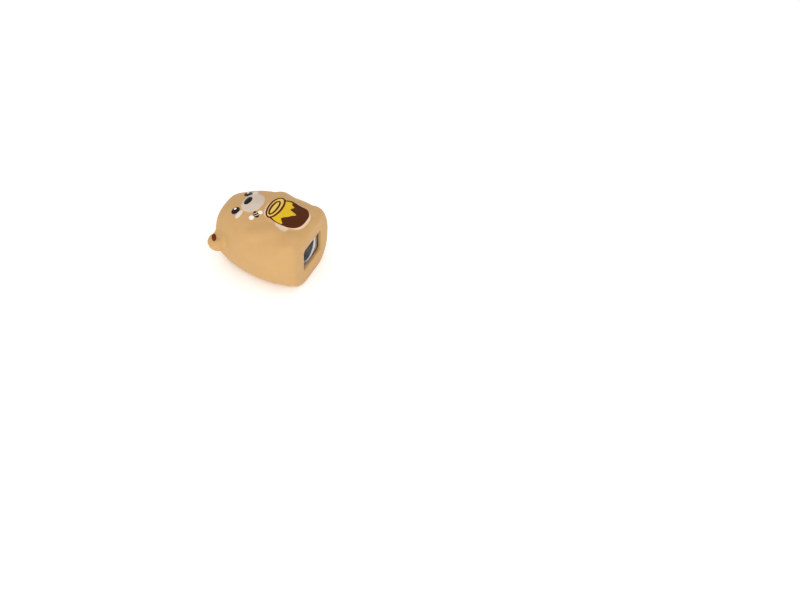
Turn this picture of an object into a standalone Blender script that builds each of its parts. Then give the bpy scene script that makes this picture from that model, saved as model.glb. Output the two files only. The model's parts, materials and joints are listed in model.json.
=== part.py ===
"""Pencil sharpener: a soft bear sleeve, lying on its back, round a metal wedge sharpener.

Metres. +X is the way the pencil comes out, +Z is up from the surface that the bear lies on, and
+Y is across. The origin is under the middle of the bear, on that surface.
"""

import math

import bmesh
import bpy
from mathutils import Matrix, Vector

MM = 0.001

# The bear's body: flat base at +X, domed crown at -X.
BODY_LENGTH = 32.7 * MM
BODY_WIDTH = 29.6 * MM
PENCIL_HEIGHT = 9.87 * MM
BELLY_HEIGHT = 11.9 * MM
BACK_FULLNESS = 11.1 * MM
CROWN_LENGTH = 4.7 * MM
BASE_FILLET = 1.5 * MM
FRONT_POWER = 2.64
BACK_POWER = 2.5
# Along the straight of the body from base to crown: share of it, width share, front height share.
BODY_SHAPE = (
    (0.00, 0.79, 0.82),
    (0.18, 0.953, 0.87),
    (0.39, 1.00, 0.925),
    (0.61, 0.946, 1.00),
    (0.82, 0.818, 0.983),
    (1.00, 0.628, 0.865),
)
RING_POINTS = 56
STRAIGHT_RINGS = 16
CURVE_RINGS = 6
SKIN_RING_POINTS = 64

# Ears, arms and feet: radii along, across and up.
EAR_RADII = (3.5 * MM, 3.5 * MM, 2.7 * MM)
EAR_FROM_CROWN = 4.0 * MM
EAR_SPREAD = 9.8 * MM
ARM_RADII = (3.6 * MM, 3.0 * MM, 3.0 * MM)
ARM_PLACE = (13.4 * MM, 0.68, 0.52)
FOOT_RADII = (2.9 * MM, 3.6 * MM, 3.0 * MM)
FOOT_PLACE = (3.1 * MM, 0.58, 0.54)

# The metal wedge sharpener inside. Its block is as long, as wide and as high as its hole, its blade
# and its screw need, with these walls round them.
BLOCK_TAIL = 2.0 * MM
BLOCK_SIDE = 0.57 * MM
BLOCK_ROOF = 1.4 * MM
ENTRY_DIAMETER = 8.0 * MM
LEAD_IN = 4.0 * MM
CONE_ANGLE = math.radians(11)
TIP_DIAMETER = 0.8 * MM
BLADE_BITE = 0.35 * MM
CHIP_SLOT_WIDTH = 2.4 * MM
CHIP_SLOT_DEPTH = 1.1 * MM
GRIP_LENGTH = 15.0 * MM
GRIP_DEPTH = 0.9 * MM
RIB_COUNT = 6
RIB_PITCH = 1.9 * MM
RIB_WIDTH = 0.7 * MM
RIB_HEIGHT = 0.45 * MM
BLOCK_EDGE = 0.35 * MM

BLADE_THICKNESS = 0.9 * MM
BLADE_BEVEL = 2.0 * MM
BLADE_EDGE = 0.06 * MM
BLADE_FROM_FRONT = 1.0 * MM
BLADE_FROM_REAR = 0.9 * MM

SCREW_FROM_FRONT = 12.5 * MM
SCREW_WALL = 0.65 * MM
SHANK_DIAMETER = 2.5 * MM
SHANK_LENGTH = 4.6 * MM
HEAD_DIAMETER = 4.2 * MM
HEAD_HEIGHT = 1.3 * MM
SCREW_SLOT_WIDTH = 0.6 * MM
SCREW_SLOT_DEPTH = 0.6 * MM

# The sleeve round the block.
LIP_THICKNESS = 1.2 * MM
WINDOW_WIDTH = 11.8 * MM
WINDOW_MARGIN = 0.1 * MM
WINDOW_CORNER = 0.9 * MM

# Fits.
BLOCK_GAP = 0.12 * MM
BLADE_GAP = 0.05 * MM
SCREW_GAP = 0.08 * MM
INLAY_GAP = 0.08 * MM
INLAY_DEPTH = 0.6 * MM
INLAY_PROUD = 0.12 * MM
SMALLEST_WALL = 0.2 * MM

# The raised work on the front. Places and radii are in hundredths: of the body's length from the
# base, and of half its width from the middle. Each oval is its place, its radii and its power. The
# glint's place across is counted from the middle of its eye.
POT_RISE = 0.7 * MM
POT_FLOOR = 0.35 * MM
BACKING_BORDER = 0.3 * MM
BROWN_LINE = 0.35 * MM
MUZZLE_RISE = 0.55 * MM
MUZZLE_SINK = 1.0 * MM
NOSE_RISE = 0.55 * MM
NOSE_SINK = 0.6 * MM
POT_MIDDLE = 6.0
JAR = ((25.1, POT_MIDDLE), (16.2, 38.0), 3.0)
RIM = ((42.5, POT_MIDDLE), (7.2, 30.0), 2.0)
RING_INSIDE = ((42.5, POT_MIDDLE), (4.6, 20.5), 2.0)
MOUTH = ((42.5, POT_MIDDLE), (3.0, 16.5), 2.0)
MUZZLE = ((64.5, 0.0), (9.8, 29.5), 2.2)
NOSE = ((69.2, 0.0), (3.6, 11.5), 2.2)
EYE = ((76.8, 32.0), (3.8, 9.2), 2.0)
GLINT = ((78.1, 3.0), (1.1, 2.6), 2.0)
CHEEK = ((71.6, 40.0), (3.0, 9.8), 2.0)
PAW = ((25.5, 40.0), (7.0, 9.0), 2.0)
BEE = ((54.0, -29.5), (4.4, 5.0), 2.0)
BEE_WINGS = (
    ("left", ((52.4, -19.0), (3.0, 5.0), 2.0)),
    ("right", ((57.2, -40.5), (3.0, 5.6), 2.0)),
)
EAR_PATCH = ((90.5, 72.0), (3.4, 11.0), 2.0)
HONEY_EDGE = (
    (43.0, -20.0), (37.6, -21.0), (34.3, -26.5), (27.4, -29.5), (26.8, -25.0), (31.2, -15.0),
    (29.6, -7.0), (25.4, -4.0), (24.8, 3.4), (20.6, 7.5), (20.8, 12.8), (28.1, 18.2),
    (25.9, 25.5), (26.3, 30.4), (30.9, 32.0), (30.0, 37.0), (35.0, 37.5), (37.6, 33.0),
    (43.0, 32.0),
)
OVAL_POINTS = 32

BASE_X = BODY_LENGTH / 2
HALF_WIDTH = BODY_WIDTH / 2
AXIS_Z = PENCIL_HEIGHT
STRAIGHT = BODY_LENGTH - CROWN_LENGTH
FRONT_FACE_X = BASE_X - LIP_THICKNESS - BLOCK_GAP
ENTRY_RADIUS = ENTRY_DIAMETER / 2
TIP_RADIUS = TIP_DIAMETER / 2
CONE_LENGTH = (ENTRY_RADIUS - TIP_RADIUS) / math.tan(CONE_ANGLE)
CONE_AT_SCREW = ENTRY_RADIUS - (SCREW_FROM_FRONT - LEAD_IN) * math.tan(CONE_ANGLE)
SCREW_ACROSS = CONE_AT_SCREW + SCREW_WALL + SHANK_DIAMETER / 2 + SCREW_GAP
BLOCK_LENGTH = LEAD_IN + CONE_LENGTH + BLOCK_TAIL
BLOCK_WIDTH = 2 * (SCREW_ACROSS + HEAD_DIAMETER / 2 + BLOCK_SIDE)
BLOCK_TOP = ENTRY_RADIUS + BLOCK_ROOF
BLADE_LENGTH = BLOCK_LENGTH - BLADE_FROM_FRONT - BLADE_FROM_REAR
WINDOW_HEIGHT = ENTRY_DIAMETER + 2 * WINDOW_MARGIN
FACE_DROP = ENTRY_RADIUS + LEAD_IN * math.tan(CONE_ANGLE) - BLADE_BITE / math.cos(CONE_ANGLE)

COLOURS = {
    "fawn": ((0.70, 0.43, 0.18), 0.62, 0.0),
    "cream": ((0.86, 0.68, 0.50), 0.6, 0.0),
    "grey_cream": ((0.66, 0.56, 0.47), 0.6, 0.0),
    "dark_brown": ((0.085, 0.03, 0.008), 0.5, 0.0),
    "black": ((0.01, 0.008, 0.008), 0.35, 0.0),
    "white": ((0.85, 0.83, 0.80), 0.45, 0.0),
    "honey_yellow": ((0.78, 0.50, 0.03), 0.4, 0.0),
    "rim_yellow": ((0.86, 0.62, 0.16), 0.45, 0.0),
    "alloy": ((0.62, 0.62, 0.63), 0.38, 1.0),
    "blade_steel": ((0.5, 0.5, 0.52), 0.22, 1.0),
    "screw_steel": ((0.55, 0.52, 0.45), 0.3, 1.0),
}


def clear_scene():
    for thing in list(bpy.data.objects):
        bpy.data.objects.remove(thing, do_unlink=True)


def material(name):
    """The named material, made the first time that it's asked for."""
    found = bpy.data.materials.get(name)
    if found:
        return found
    colour, roughness, metallic = COLOURS[name]
    made = bpy.data.materials.new(name)
    made.use_nodes = True
    shader = made.node_tree.nodes["Principled BSDF"]
    shader.inputs["Base Color"].default_value = (*colour, 1.0)
    shader.inputs["Roughness"].default_value = roughness
    shader.inputs["Metallic"].default_value = metallic
    return made


def mesh_object(name, shape, matrix=None):
    """A new object from a bmesh, with its faces turned outwards."""
    bmesh.ops.recalc_face_normals(shape, faces=shape.faces)
    mesh = bpy.data.meshes.new(name)
    shape.to_mesh(mesh)
    shape.free()
    made = bpy.data.objects.new(name, mesh)
    bpy.context.scene.collection.objects.link(made)
    if matrix is not None:
        made.matrix_world = matrix
    return made


def helper(thing):
    """Marks a cutter: it shapes other objects and isn't a piece itself."""
    thing.hide_render = True
    thing.display_type = "WIRE"
    return thing


def finish(thing, colour, smooth=True):
    thing.data.materials.append(material(colour))
    for face in thing.data.polygons:
        face.use_smooth = smooth
    return thing


def boolean(thing, other, operation):
    modifier = thing.modifiers.new(operation.title() + " " + other.name, "BOOLEAN")
    modifier.operation = operation
    modifier.object = other
    return thing


# --- Solid shapes -----------------------------------------------------------------------------


def box(name, low, high, matrix=None):
    shape = bmesh.new()
    bmesh.ops.create_cube(shape, size=1.0)
    middle = (Vector(low) + Vector(high)) / 2
    size = Vector(high) - Vector(low)
    bmesh.ops.transform(
        shape, matrix=Matrix.Translation(middle) @ Matrix.Diagonal((*size, 1.0)), verts=shape.verts
    )
    return mesh_object(name, shape, matrix)


def prism(name, outline, low, high):
    """An outline of (x, y) points, drawn up from height low to height high."""
    shape = bmesh.new()
    floor = shape.faces.new([shape.verts.new((x, y, low)) for x, y in outline])
    grown = bmesh.ops.extrude_face_region(shape, geom=[floor])
    risen = [part for part in grown["geom"] if isinstance(part, bmesh.types.BMVert)]
    bmesh.ops.translate(shape, vec=(0, 0, high - low), verts=risen)
    return mesh_object(name, shape)


def ellipsoid(name, centre, radii, segments=28, rings=16):
    """An ellipsoid turned a little, so that none of its edges lies in the body's middle plane."""
    shape = bmesh.new()
    bmesh.ops.create_uvsphere(shape, u_segments=segments, v_segments=rings, radius=1.0)
    turn = Matrix.Rotation(0.3 * 2 * math.pi / segments, 4, "Z")
    bmesh.ops.transform(shape, matrix=Matrix.Diagonal((*radii, 1.0)) @ turn, verts=shape.verts)
    return mesh_object(name, shape, Matrix.Translation(centre))


def turned(name, profile, segments, matrix):
    """A solid of revolution about its own Z, from (radius, height) points that start and end on it."""
    shape = bmesh.new()
    rows = []
    for radius, height in profile:
        if radius == 0:
            rows.append([shape.verts.new((0, 0, height))])
            continue
        turns = [2 * math.pi * k / segments for k in range(segments)]
        rows.append([shape.verts.new((radius * math.cos(t), radius * math.sin(t), height)) for t in turns])
    for row, above in zip(rows, rows[1:]):
        for k in range(segments):
            after = (k + 1) % segments
            corners = [row[k % len(row)], row[after % len(row)], above[after % len(above)], above[k % len(above)]]
            shape.faces.new(list(dict.fromkeys(corners)))
    return mesh_object(name, shape, matrix)


# --- The bear's body --------------------------------------------------------------------------


def curve_through(points, at):
    """The value at a place, on a smooth curve through (place, value) points that adds no bump."""
    places = [point[0] for point in points]
    values = [point[1] for point in points]
    rises = [(values[k + 1] - values[k]) / (places[k + 1] - places[k]) for k in range(len(points) - 1)]
    slopes = [rises[0]]
    for before, after in zip(rises, rises[1:]):
        slopes.append(0.0 if before * after <= 0 else 2 * before * after / (before + after))
    slopes.append(rises[-1])
    at = min(max(at, places[0]), places[-1])
    k = max(i for i in range(len(rises)) if places[i] <= at)
    step = places[k + 1] - places[k]
    t = (at - places[k]) / step
    return (
        values[k] * (1 + 2 * t) * (1 - t) ** 2
        + slopes[k] * step * t * (1 - t) ** 2
        + values[k + 1] * t * t * (3 - 2 * t)
        + slopes[k + 1] * step * t * t * (t - 1)
    )


WIDTH_CURVE = [(share, width) for share, width, _ in BODY_SHAPE]
HEIGHT_CURVE = [(share, height) for share, _, height in BODY_SHAPE]


def section(along, offset=0.0):
    """Half width, front height and back depth of the body at a distance from the base."""
    share = min(along, STRAIGHT) / STRAIGHT
    beyond = max(0.0, along - STRAIGHT) / CROWN_LENGTH
    dome = math.sqrt(max(0.0, 1.0 - beyond * beyond))
    half = HALF_WIDTH * curve_through(WIDTH_CURVE, share) * dome
    front = BELLY_HEIGHT * curve_through(HEIGHT_CURVE, share) * dome
    return half + offset, front + offset, BACK_FULLNESS * dome + offset


def base_inset(along):
    """How far the rounded edge of the base draws the outline in."""
    if along >= BASE_FILLET:
        return 0.0
    return BASE_FILLET - math.sqrt(BASE_FILLET**2 - (BASE_FILLET - along) ** 2)


def body_rings():
    """Distances from the base at which the body has a ring of points."""
    quarter = [math.pi / 2 * k / CURVE_RINGS for k in range(CURVE_RINGS)]
    fillet = [BASE_FILLET * (1 - math.cos(turn)) for turn in quarter]
    straight = [
        BASE_FILLET + (STRAIGHT - BASE_FILLET) * k / STRAIGHT_RINGS for k in range(STRAIGHT_RINGS)
    ]
    crown = [STRAIGHT + CROWN_LENGTH * math.sin(turn) for turn in quarter]
    last = STRAIGHT + CROWN_LENGTH * math.sin(math.pi / 2 * (CURVE_RINGS - 0.4) / CURVE_RINGS)
    return fillet + straight + crown + [last]


def body_loft(name, offset=0.0, points=RING_POINTS):
    """The body without limbs. Its back is cut flat, and an offset moves the whole skin outwards."""
    shape = bmesh.new()
    rings = []
    for along in body_rings():
        half, front, back = section(along, offset - base_inset(along))
        ring = []
        for k in range(points):
            turn = 2 * math.pi * k / points
            across, up = math.cos(turn), math.sin(turn)
            power = FRONT_POWER if up >= 0 else BACK_POWER
            reach = (abs(across) ** power + abs(up) ** power) ** (-1 / power)
            height = (front if up >= 0 else back) * up * reach
            ring.append((half * across * reach, max(AXIS_Z + height, -offset)))
        rings.append([shape.verts.new((BASE_X - along, y, z)) for y, z in ring])
    tip = shape.verts.new((BASE_X - BODY_LENGTH - offset, 0, AXIS_Z))
    shape.faces.new(rings[0])
    for ring, after in zip(rings, rings[1:]):
        for k in range(points):
            j = (k + 1) % points
            shape.faces.new((ring[k], ring[j], after[j], after[k]))
    for k in range(points):
        shape.faces.new((rings[-1][k], rings[-1][(k + 1) % points], tip))
    return mesh_object(name, shape)


def limb_place(place, side):
    """A limb's centre, from its distance along and its shares of the section there."""
    along, out, up = place
    half, front, _ = section(along)
    return (BASE_X - along, side * half * out, AXIS_Z + front * up)


def ear_centre(side):
    return (BASE_X - BODY_LENGTH + EAR_FROM_CROWN, side * EAR_SPREAD, AXIS_Z)


# --- Raised work ------------------------------------------------------------------------------


def art_point(along, across):
    return (BASE_X - BODY_LENGTH * along / 100, HALF_WIDTH * across / 100)


def oval_outline(oval, grow=0.0):
    """The (x, y) points of an oval from the lists above, grown outwards by a distance."""
    centre, radii, power = oval
    x, y = art_point(*centre)
    reach_x = BODY_LENGTH * radii[0] / 100 + grow
    reach_y = HALF_WIDTH * radii[1] / 100 + grow
    outline = []
    for k in range(OVAL_POINTS):
        turn = 2 * math.pi * k / OVAL_POINTS
        c, s = math.cos(turn), math.sin(turn)
        reach = (abs(c) ** power + abs(s) ** power) ** (-1 / power)
        outline.append((x + reach_x * c * reach, y + reach_y * s * reach))
    return outline


def grown_outline(points, grow):
    """A closed outline moved outwards by a distance, corner by corner."""
    count = len(points)
    area = sum(points[k - 1][0] * points[k][1] - points[k][0] * points[k - 1][1] for k in range(count))
    turn = 1 if area > 0 else -1
    moved = []
    for k in range(count):
        before, here, after = (Vector(points[(k + step) % count]) for step in (-1, 0, 1))
        ways = [(here - before).normalized(), (after - here).normalized()]
        outs = [Vector((way.y, -way.x)) * turn for way in ways]
        out = (outs[0] + outs[1]).normalized()
        moved.append(tuple(here + out * grow / max(out.dot(outs[0]), 0.5)))
    return moved


def mirrored(oval, side):
    centre, radii, power = oval
    return ((centre[0], centre[1] * side), radii, power)


def surface_z(x, y):
    """Height of the body's front at a point."""
    half, front, _ = section(BASE_X - x)
    share = min(abs(y) / half, 1.0)
    return AXIS_Z + front * (1 - share**FRONT_POWER) ** (1 / FRONT_POWER)


ART_LOW = AXIS_Z
ART_HIGH = AXIS_Z + 2 * BELLY_HEIGHT


class Skins:
    """Copies of the body at set offsets, made once, that trim the raised work."""

    def __init__(self):
        self.made = {}

    def at(self, offset):
        key = round(offset / MM, 4)
        if key not in self.made:
            skin = body_loft(f"cut_skin_{len(self.made)}", offset, SKIN_RING_POINTS)
            self.made[key] = helper(skin)
        return self.made[key]


def trim(piece, skins, top, bottom):
    """Keeps what lies between the body's skin at one offset and at another."""
    if top is not None:
        boolean(piece, skins.at(top), "INTERSECT")
    return boolean(piece, skins.at(bottom), "DIFFERENCE")


def inlay(name, shape_of, skins, top, bottom, colour):
    """A piece between two skins, and the cutter that makes room for it."""
    piece = finish(trim(shape_of(name, 0.0), skins, top, bottom), colour)
    room = helper(trim(shape_of("cut_" + name, INLAY_GAP), skins, None, bottom - INLAY_GAP))
    return piece, room


def oval_prism(name, oval, grow=0.0):
    return prism(name, oval_outline(oval, grow), ART_LOW, ART_HIGH)


def oval_inlay(name, oval, skins, top, bottom, colour):
    def shape_of(label, grow):
        return oval_prism(label, oval, grow)

    return inlay(name, shape_of, skins, top, bottom, colour)


def keep_clear(piece, room, neighbour_of):
    """Cuts a piece and its room back from a neighbour, so that a wall stands between the rooms."""
    for thing, grow in ((piece, SMALLEST_WALL + 2 * INLAY_GAP), (room, SMALLEST_WALL + INLAY_GAP)):
        boolean(thing, helper(neighbour_of("cut_beside_" + thing.name, grow)), "DIFFERENCE")


def pot_prism(name, grow):
    """The pot's whole outline: its jar and its rim."""
    rim = helper(oval_prism("add_rim_" + name, RIM, grow))
    return boolean(oval_prism(name, JAR, grow), rim, "UNION")


def honey_prism(name, grow):
    """The honey that runs down from the rim. The rim itself is left out."""
    points = [art_point(*point) for point in HONEY_EDGE]
    edge = helper(oval_prism("cut_rim_" + name, RIM, -grow))
    return boolean(prism(name, grown_outline(points, grow), ART_LOW, ART_HIGH), edge, "DIFFERENCE")


def ring_prism(name, grow):
    hole = helper(oval_prism("cut_hole_" + name, RING_INSIDE, -grow))
    return boolean(oval_prism(name, RIM, grow - BROWN_LINE), hole, "DIFFERENCE")


def dome(name, oval, rise, sink, colour):
    """A raised oval button on the front, and the cutter that makes room for it."""
    x, y = art_point(*oval[0])
    middle = surface_z(x, y)
    radii = (BODY_LENGTH * oval[1][0] / 100, HALF_WIDTH * oval[1][1] / 100)
    sunk = middle - sink
    height = rise + sink
    piece = finish(ellipsoid(name, (x, y, sunk), (*radii, height)), colour)
    grown = (radii[0] + INLAY_GAP, radii[1] + INLAY_GAP, height + INLAY_GAP)
    room = helper(ellipsoid("cut_" + name, (x, y, sunk), grown))
    return piece, room, sunk


def flat_bottom(thing, centre, floor, reach):
    low = (centre[0] - reach, centre[1] - reach, floor - reach)
    high = (centre[0] + reach, centre[1] + reach, floor)
    return boolean(thing, helper(box("cut_under_" + thing.name, low, high)), "DIFFERENCE")


def muzzle_and_nose(cover):
    muzzle, room, floor = dome("muzzle", MUZZLE, MUZZLE_RISE, MUZZLE_SINK, "grey_cream")
    x, y = art_point(*MUZZLE[0])
    flat_bottom(muzzle, (x, y), floor - MUZZLE_SINK / 2, BODY_LENGTH)
    flat_bottom(room, (x, y), floor - MUZZLE_SINK / 2 - INLAY_GAP, BODY_LENGTH)
    boolean(cover, room, "DIFFERENCE")

    nose, room, floor = dome("nose", NOSE, MUZZLE_RISE + NOSE_RISE, NOSE_SINK - MUZZLE_RISE, "black")
    x, y = art_point(*NOSE[0])
    flat_bottom(nose, (x, y), floor, BODY_LENGTH)
    flat_bottom(room, (x, y), floor - INLAY_GAP, BODY_LENGTH)
    boolean(muzzle, room, "DIFFERENCE")


def eye_and_cheek(cover, skins, side, hand):
    """One eye with its glint, and the pale crescent under it. Both glints lie to the same side."""
    top, bottom = INLAY_PROUD, -INLAY_DEPTH
    eye, room = oval_inlay("eye_" + hand, mirrored(EYE, side), skins, top, bottom, "black")
    boolean(cover, room, "DIFFERENCE")
    place = (GLINT[0][0], side * EYE[0][1] + GLINT[0][1])
    glint = (place, GLINT[1], GLINT[2])
    _, room = oval_inlay("eye_glint_" + hand, glint, skins, top, bottom / 2, "white")
    boolean(eye, room, "DIFFERENCE")
    cheek, room = oval_inlay("cheek_" + hand, mirrored(CHEEK, side), skins, top, bottom, "white")
    keep_clear(cheek, room, lambda name, grow: oval_prism(name, mirrored(EYE, side), grow))
    boolean(cover, room, "DIFFERENCE")


def paw(cover, skins, side, hand):
    """The pad of one paw, showing past the side of the pot."""
    (along, across), radii, power = PAW
    oval = ((along, POT_MIDDLE + side * across), radii, power)
    pad, room = oval_inlay("paw_" + hand, oval, skins, INLAY_PROUD, -INLAY_DEPTH, "cream")
    keep_clear(pad, room, lambda name, grow: pot_prism(name, BACKING_BORDER + grow))
    boolean(cover, room, "DIFFERENCE")


def pot_and_honey(cover, skins):
    """A cream backing in the body, the brown pot on it, and honey and rim let into the pot."""

    def backing_prism(name, grow):
        return pot_prism(name, BACKING_BORDER + grow)

    _, room = inlay("pot_backing", backing_prism, skins, INLAY_PROUD, -INLAY_DEPTH, "cream")
    boolean(cover, room, "DIFFERENCE")
    pot = trim(pot_prism("honey_pot", 0.0), skins, POT_RISE, INLAY_PROUD + INLAY_GAP)
    finish(pot, "dark_brown")
    top = POT_RISE + INLAY_PROUD
    bottom = POT_RISE - POT_FLOOR
    _, honey_room = inlay("honey", honey_prism, skins, top, bottom, "honey_yellow")
    _, rim_room = inlay("pot_rim", ring_prism, skins, top, bottom, "rim_yellow")
    _, mouth_room = oval_inlay("pot_mouth", MOUTH, skins, top, bottom, "rim_yellow")
    for room in (honey_room, rim_room, mouth_room):
        boolean(pot, room, "DIFFERENCE")


def bee(cover, skins):
    top, bottom = INLAY_PROUD, -INLAY_DEPTH
    _, room = oval_inlay("bee_body", BEE, skins, top, bottom, "black")
    boolean(cover, room, "DIFFERENCE")
    for hand, oval in BEE_WINGS:
        wing, room = oval_inlay("bee_wing_" + hand, oval, skins, top, bottom, "white")
        keep_clear(wing, room, lambda name, grow: oval_prism(name, BEE, grow))
        boolean(cover, room, "DIFFERENCE")


def ear_inlay(cover, side, hand):
    """The dark patch in the front of an ear."""
    centre = ear_centre(side)
    oval = mirrored(EAR_PATCH, side)
    piece = finish(prism("ear_inner_" + hand, oval_outline(oval), ART_LOW, ART_HIGH), "dark_brown")
    room = helper(prism("cut_ear_" + hand, oval_outline(oval, INLAY_GAP), ART_LOW, ART_HIGH))
    sizes = (
        (piece, INLAY_PROUD, "INTERSECT"),
        (piece, -INLAY_DEPTH, "DIFFERENCE"),
        (room, -INLAY_DEPTH - INLAY_GAP, "DIFFERENCE"),
    )
    for k, (thing, grow, operation) in enumerate(sizes):
        radii = [radius + grow for radius in EAR_RADII]
        boolean(thing, helper(ellipsoid(f"cut_ear_skin_{hand}_{k}", centre, radii)), operation)
    boolean(cover, room, "DIFFERENCE")


# --- The pieces -------------------------------------------------------------------------------


def rounded_window():
    """The window's outline in the base, as a rounded rectangle drawn through along X."""
    half_y = WINDOW_WIDTH / 2 - WINDOW_CORNER
    half_z = WINDOW_HEIGHT / 2 - WINDOW_CORNER
    outline = []
    for corner, (sy, sz) in enumerate(((1, 1), (-1, 1), (-1, -1), (1, -1))):
        for k in range(5):
            turn = math.pi / 2 * (corner + k / 4)
            y = sy * half_y + WINDOW_CORNER * math.cos(turn)
            z = sz * half_z + WINDOW_CORNER * math.sin(turn)
            outline.append((y, z))
    through = prism("cut_window", outline, -LIP_THICKNESS - BLOCK_LENGTH / 4, LIP_THICKNESS)
    turn = Matrix(((0, 0, 1, 0), (1, 0, 0, 0), (0, 1, 0, 0), (0, 0, 0, 1)))
    through.matrix_world = Matrix.Translation((BASE_X, 0, AXIS_Z)) @ turn
    return helper(through)


def silicone_cover():
    cover = finish(body_loft("silicone_cover"), "fawn")
    for side, hand in ((1, "left"), (-1, "right")):
        limbs = (
            ("ear", ear_centre(side), EAR_RADII),
            ("arm", limb_place(ARM_PLACE, side), ARM_RADII),
            ("foot", limb_place(FOOT_PLACE, side), FOOT_RADII),
        )
        for limb, centre, radii in limbs:
            boolean(cover, helper(ellipsoid(f"add_{limb}_{hand}", centre, radii)), "UNION")
    half = BLOCK_WIDTH / 2 + BLOCK_GAP
    low = (FRONT_FACE_X - BLOCK_LENGTH - BLOCK_GAP, -half, -BLOCK_TOP)
    high = (FRONT_FACE_X + BLOCK_GAP, half, AXIS_Z + BLOCK_TOP + BLOCK_GAP)
    boolean(cover, helper(box("cut_pocket", low, high)), "DIFFERENCE")
    boolean(cover, rounded_window(), "DIFFERENCE")

    skins = Skins()
    muzzle_and_nose(cover)
    pot_and_honey(cover, skins)
    bee(cover, skins)
    for side, hand in ((1, "left"), (-1, "right")):
        eye_and_cheek(cover, skins, side, hand)
        paw(cover, skins, side, hand)
        ear_inlay(cover, side, hand)
    # At some sizes the EXACT solver leaves open edges where this many cuts meet.
    for modifier in cover.modifiers:
        modifier.solver = "MANIFOLD"
    return cover


def on_face(from_front, across=0.0, out=0.0):
    """A frame on the blade's face: X along the blade to the front, Z out of the face."""
    slope = Matrix.Rotation(CONE_ANGLE, 4, "Y")
    face = Matrix.Translation((FRONT_FACE_X, 0, AXIS_Z - FACE_DROP)) @ slope
    flip = Matrix.Rotation(math.pi, 4, "X")
    return face @ Matrix.Translation((-from_front, across, -out)) @ flip


def sharpener_body():
    """The wedge: a block with a conical hole, a slanted face for the blade and ribbed sides."""
    half = BLOCK_WIDTH / 2
    front = FRONT_FACE_X
    slope = math.tan(CONE_ANGLE)
    drops = (FACE_DROP, FACE_DROP - BLOCK_LENGTH * slope)
    side = [
        (front, AXIS_Z - drops[0]),
        (front, AXIS_Z + BLOCK_TOP),
        (front - BLOCK_LENGTH, AXIS_Z + BLOCK_TOP),
        (front - BLOCK_LENGTH, AXIS_Z - drops[1]),
    ]
    wedge = prism("sharpener_body", side, -half, half)
    stand = Matrix(((1, 0, 0, 0), (0, 0, -1, 0), (0, 1, 0, 0), (0, 0, 0, 1)))
    wedge.data.transform(stand)
    wedge.data.update()
    finish(wedge, "alloy", smooth=False)
    bevel = wedge.modifiers.new("Soft edges", "BEVEL")
    bevel.width = BLOCK_EDGE
    bevel.segments = 2

    into = Matrix.Translation((front, 0, AXIS_Z)) @ Matrix.Rotation(-math.pi / 2, 4, "Y")
    hole = [
        (0, -LEAD_IN),
        (ENTRY_RADIUS, -LEAD_IN),
        (ENTRY_RADIUS, LEAD_IN),
        (TIP_RADIUS, LEAD_IN + CONE_LENGTH),
        (TIP_RADIUS, 2 * BLOCK_LENGTH),
        (0, 2 * BLOCK_LENGTH),
    ]
    boolean(wedge, helper(turned("cut_cone", hole, 40, into)), "DIFFERENCE")

    low = (-CONE_LENGTH, 0, -CHIP_SLOT_DEPTH)
    high = (0, CHIP_SLOT_WIDTH, CHIP_SLOT_DEPTH)
    slot = helper(box("cut_chip_slot", low, high, on_face(LEAD_IN)))
    boolean(wedge, slot, "DIFFERENCE")

    shank = SHANK_DIAMETER / 2 + SCREW_GAP
    deep = SHANK_LENGTH - BLADE_THICKNESS + 2 * SCREW_GAP
    drill = [(0, -deep), (shank, -deep), (shank, LEAD_IN), (0, LEAD_IN)]
    place = on_face(SCREW_FROM_FRONT, SCREW_ACROSS)
    boolean(wedge, helper(turned("cut_screw_hole", drill, 24, place)), "DIFFERENCE")

    radius = (GRIP_LENGTH**2 / 4 + GRIP_DEPTH**2) / (2 * GRIP_DEPTH)
    for way, hand in ((1, "left"), (-1, "right")):
        centre = (front - BLOCK_LENGTH / 2, way * (half + radius - GRIP_DEPTH), AXIS_Z - BLOCK_LENGTH)
        tall = 2 * BLOCK_LENGTH
        bar = [(0, 0), (radius, 0), (radius, tall), (0, tall)]
        grip = helper(turned("cut_grip_" + hand, bar, 128, Matrix.Translation(centre)))
        boolean(wedge, grip, "DIFFERENCE")
        for k in range(RIB_COUNT):
            x = front - BLOCK_LENGTH / 2 + (k - (RIB_COUNT - 1) / 2) * RIB_PITCH
            off = x - (front - BLOCK_LENGTH / 2)
            depth = GRIP_DEPTH - (radius - math.sqrt(radius**2 - off**2))
            inner = half - depth - SMALLEST_WALL
            outer = half - depth + RIB_HEIGHT
            floor = AXIS_Z - FACE_DROP + (front - x) * slope + BLOCK_EDGE
            ends = sorted((way * inner, way * outer))
            rib_low = (x - RIB_WIDTH / 2, ends[0], floor + BLOCK_EDGE)
            rib_high = (x + RIB_WIDTH / 2, ends[1], AXIS_Z + BLOCK_TOP - BLOCK_EDGE)
            boolean(wedge, helper(box(f"add_rib_{hand}_{k}", rib_low, rib_high)), "UNION")
    return wedge


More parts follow.
